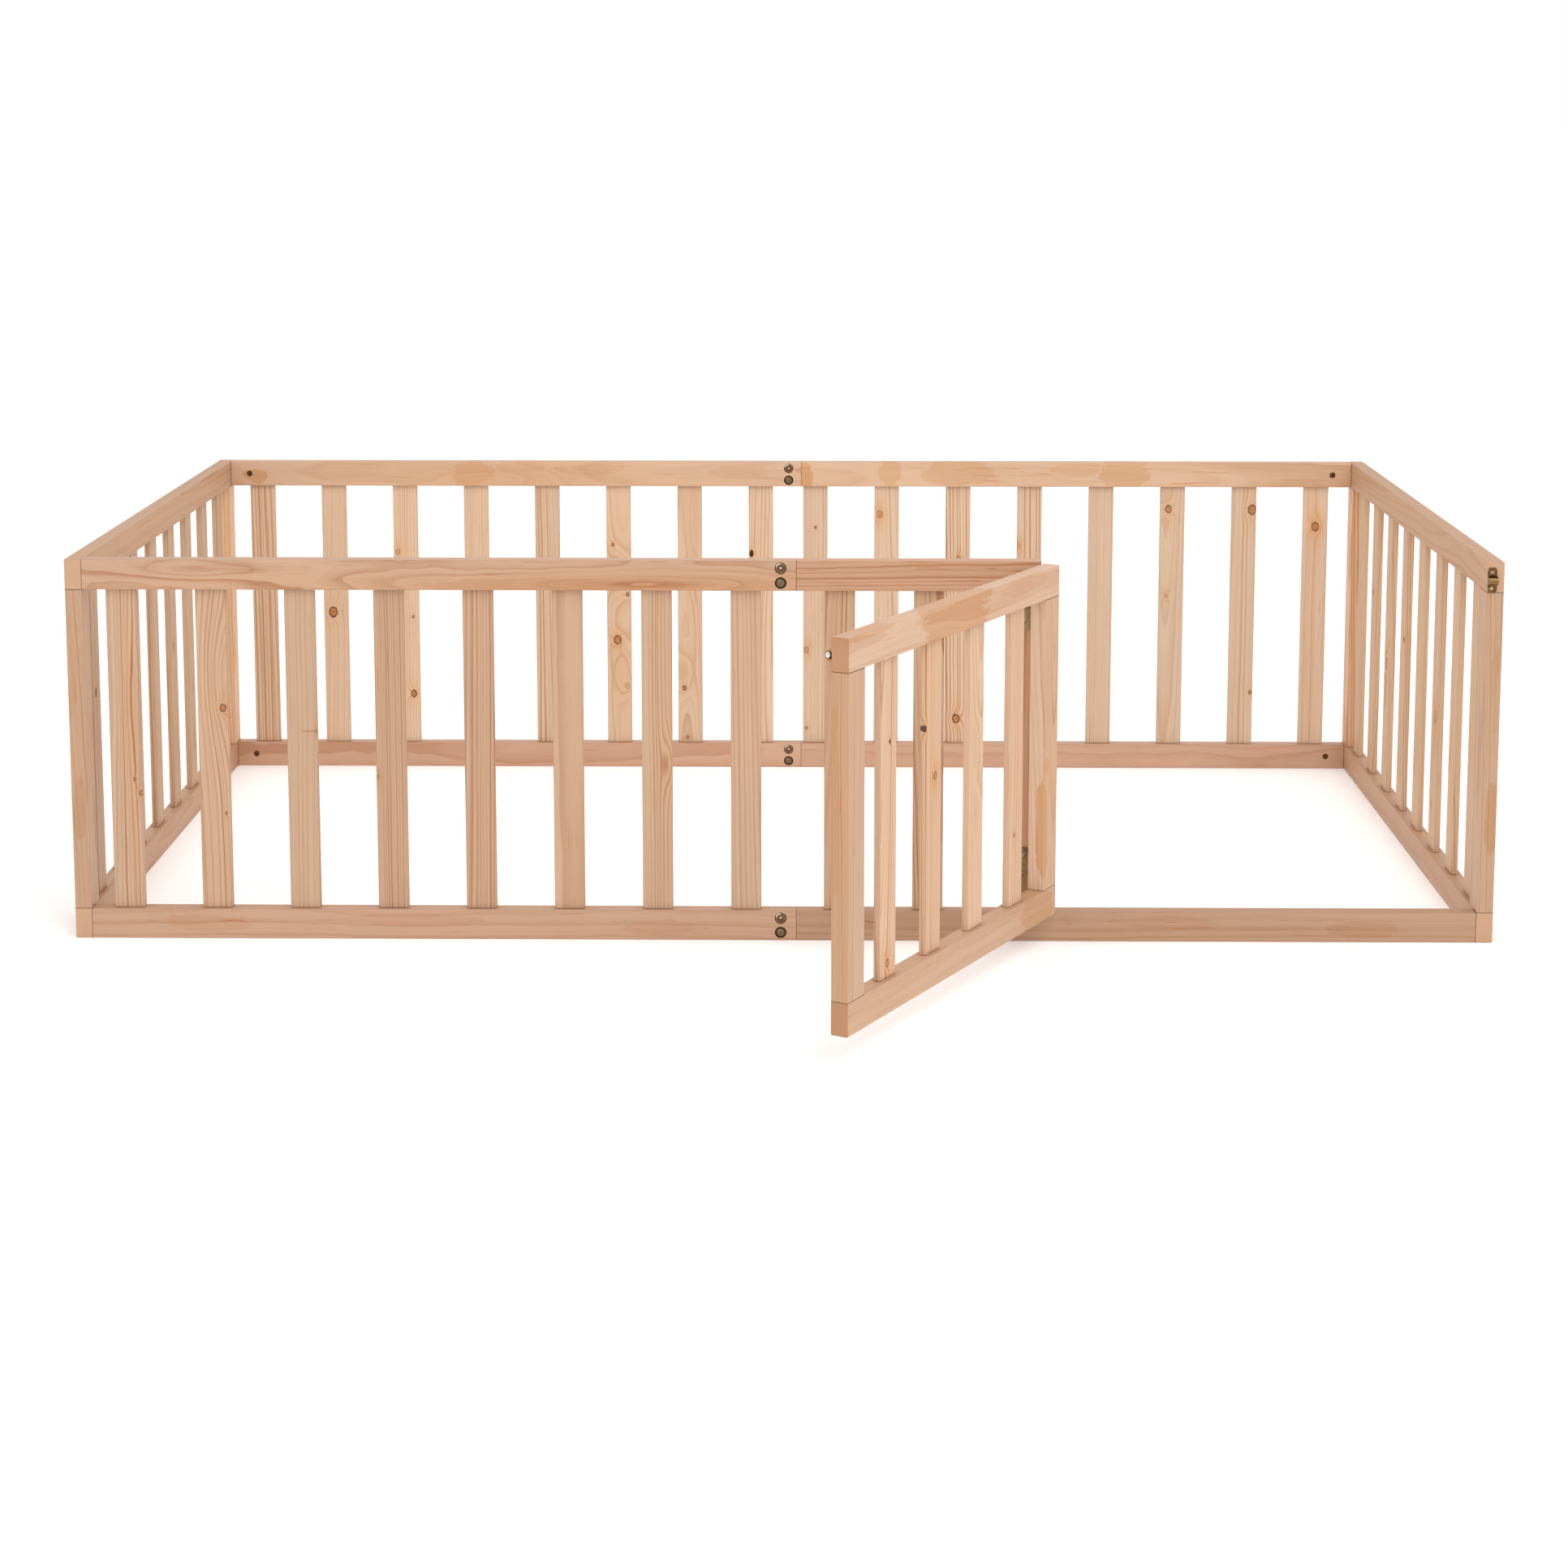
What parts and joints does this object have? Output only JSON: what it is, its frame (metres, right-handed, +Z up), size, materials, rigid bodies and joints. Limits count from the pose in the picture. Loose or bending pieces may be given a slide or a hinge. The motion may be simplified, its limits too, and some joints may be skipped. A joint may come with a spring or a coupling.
{
  "type": "playpen",
  "caption": "Low slatted wooden playpen of bolted flat panels around a floor space, with a hinged gate on one long side held by a barrel bolt.",
  "frame": {"origin": "middle of the pen's floor space, on the floor", "axes": "+X along the pen's length, to the right seen from the gate side; -Y out through the gate side; +Z up"},
  "size_m": [1.97, 1.5883, 0.535],
  "materials": {
    "pine_rail": "sanded and clear matt lacquered pine",
    "pine_stile": "sanded and clear matt lacquered pine",
    "pine_slat": "sanded and clear matt lacquered pine with strong growth lines",
    "dowel_beech": "plain beech",
    "hinge_brass": "yellow plated steel, satin",
    "latch_brass": "dull brass-plated sheet",
    "rod_steel": "bright zinc",
    "screw_steel": "yellow-zinc plated",
    "bolt_bronze": "antique bronze plated"
  },
  "bodies": {
    "frame": {"back_left_bottom_rail": "pine_rail", "back_left_slats": "pine_slat", "back_left_top_rail": "pine_rail", "back_right_bottom_rail": "pine_rail", "back_right_slats": "pine_slat", "back_right_top_rail": "pine_rail", "barrel_nuts": "bolt_bronze", "corner_bolts": "bolt_bronze", "frame_dowels": "dowel_beech", "front_left_bottom_rail": "pine_rail", "front_left_slat_1": "pine_slat", "front_left_slat_2": "pine_slat", "front_left_slat_3": "pine_slat", "front_left_slat_4": "pine_slat", "front_left_slat_5": "pine_slat", "front_left_slat_6": "pine_slat", "front_left_slat_7": "pine_slat", "front_left_slat_8": "pine_slat", "front_left_top_rail": "pine_rail", "front_right_slat_1": "pine_slat", "front_right_slat_2": "pine_slat", "front_right_top_rail": "pine_rail", "hinge_post": "pine_stile", "keeper": "latch_brass", "keeper_screws": "screw_steel", "lap_bolts": "bolt_bronze", "lap_nuts": "bolt_bronze", "left_back_stile": "pine_stile", "left_bottom_rail": "pine_rail", "left_front_stile": "pine_stile", "left_side_slats": "pine_slat", "left_top_rail": "pine_rail", "lower_hinge_pin": "hinge_brass", "lower_hinge_post_leaf": "hinge_brass", "post_hinge_screws": "screw_steel", "right_back_stile": "pine_stile", "right_bottom_rail": "pine_rail", "right_front_stile": "pine_stile", "right_side_slats": "pine_slat", "right_top_rail": "pine_rail", "threshold_rail": "pine_rail", "upper_hinge_pin": "hinge_brass", "upper_hinge_post_leaf": "hinge_brass"},
    "gate": {"gate_bottom_rail": "pine_rail", "gate_dowels": "dowel_beech", "gate_hinge_screws": "screw_steel", "gate_hinge_stile": "pine_stile", "gate_latch_stile": "pine_stile", "gate_slat_1": "pine_slat", "gate_slat_2": "pine_slat", "gate_slat_3": "pine_slat", "gate_slat_4": "pine_slat", "gate_top_rail": "pine_rail", "latch_plate": "latch_brass", "latch_screws": "screw_steel", "lower_hinge_gate_leaf": "hinge_brass", "upper_hinge_gate_leaf": "hinge_brass"},
    "latch_bolt": {"latch_rod": "rod_steel", "latch_knob": "rod_steel"}
  },
  "joints": [
    {"name": "gate_hinge", "type": "hinge", "parent": "frame", "child": "gate", "pos_m": [0.355, -0.5258, 0.287], "axis": [0, 0, 1], "range_deg": [-59, 119]},
    {"name": "latch_slide", "type": "slide", "parent": "gate", "child": "latch_bolt", "axis": [-0.4848, -0.8746, 0], "range_m": [0, 0.02]}
  ]
}
